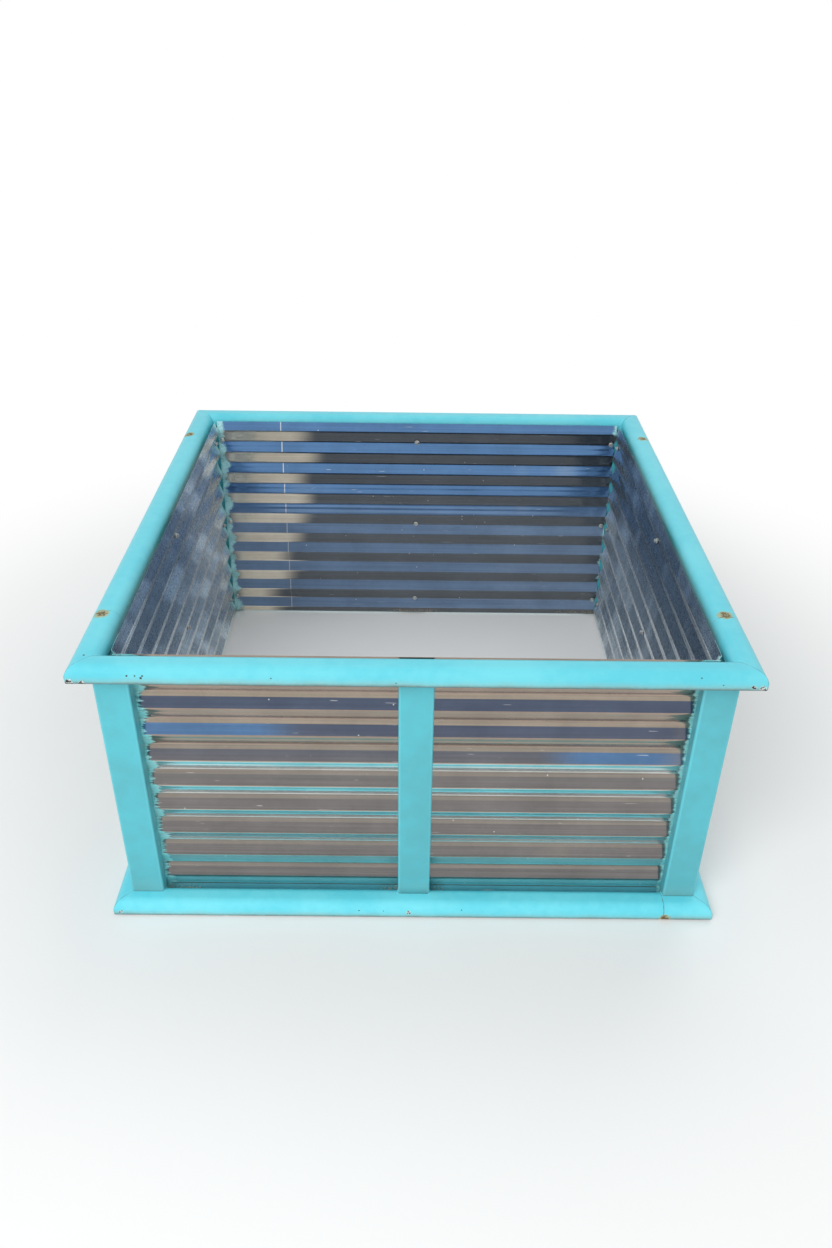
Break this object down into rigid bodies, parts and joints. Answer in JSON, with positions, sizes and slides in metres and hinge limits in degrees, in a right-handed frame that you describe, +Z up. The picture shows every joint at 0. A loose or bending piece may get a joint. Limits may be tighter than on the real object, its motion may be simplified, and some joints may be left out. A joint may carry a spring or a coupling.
{
  "type": "raised garden bed",
  "caption": "Square open-bottomed raised bed: welded painted steel frame with rounded rails, lined with screwed corrugated steel sheets.",
  "frame": {"origin": "on the ground at the middle of the bed, under the flat undersides of the bottom rails", "axes": "+Z up; -Y is the front, the side with the butt weld in its bottom rail; +X to the right when facing the front"},
  "size_m": [1.32, 1.32, 0.672],
  "materials": {
    "turquoise_paint": "gloss enamel on steel, dusty, chipped at the lower edges of the rails",
    "galvanised_sheet": "hot-dip galvanised, smooth and a little dull",
    "zinc_screw": "zinc plated, weathered",
    "bonded_washer": "zinc plated disc on a dark rubber seal"
  },
  "bodies": {
    "root": {"back_post_left": "turquoise_paint", "back_post_middle": "turquoise_paint", "back_post_right": "turquoise_paint", "bottom_rail_back": "turquoise_paint", "bottom_rail_front_long": "turquoise_paint", "bottom_rail_front_short": "turquoise_paint", "bottom_rail_left": "turquoise_paint", "bottom_rail_right": "turquoise_paint", "corrugated_sheet_back": "galvanised_sheet", "corrugated_sheet_front": "galvanised_sheet", "corrugated_sheet_left": "galvanised_sheet", "corrugated_sheet_right": "galvanised_sheet", "front_post_left": "turquoise_paint", "front_post_middle": "turquoise_paint", "front_post_right": "turquoise_paint", "left_post_back": "turquoise_paint", "left_post_front": "turquoise_paint", "left_post_middle": "turquoise_paint", "right_post_back": "turquoise_paint", "right_post_front": "turquoise_paint", "right_post_middle": "turquoise_paint", "sealing_washers_back": "bonded_washer", "sealing_washers_front": "bonded_washer", "sealing_washers_left": "bonded_washer", "sealing_washers_right": "bonded_washer", "sheet_screws_back": "zinc_screw", "sheet_screws_front": "zinc_screw", "sheet_screws_left": "zinc_screw", "sheet_screws_right": "zinc_screw", "top_rail_back": "turquoise_paint", "top_rail_front": "turquoise_paint", "top_rail_left_back": "turquoise_paint", "top_rail_left_front": "turquoise_paint", "top_rail_left_middle": "turquoise_paint", "top_rail_right_back": "turquoise_paint", "top_rail_right_front": "turquoise_paint", "top_rail_right_middle": "turquoise_paint"}
  },
  "joints": []
}
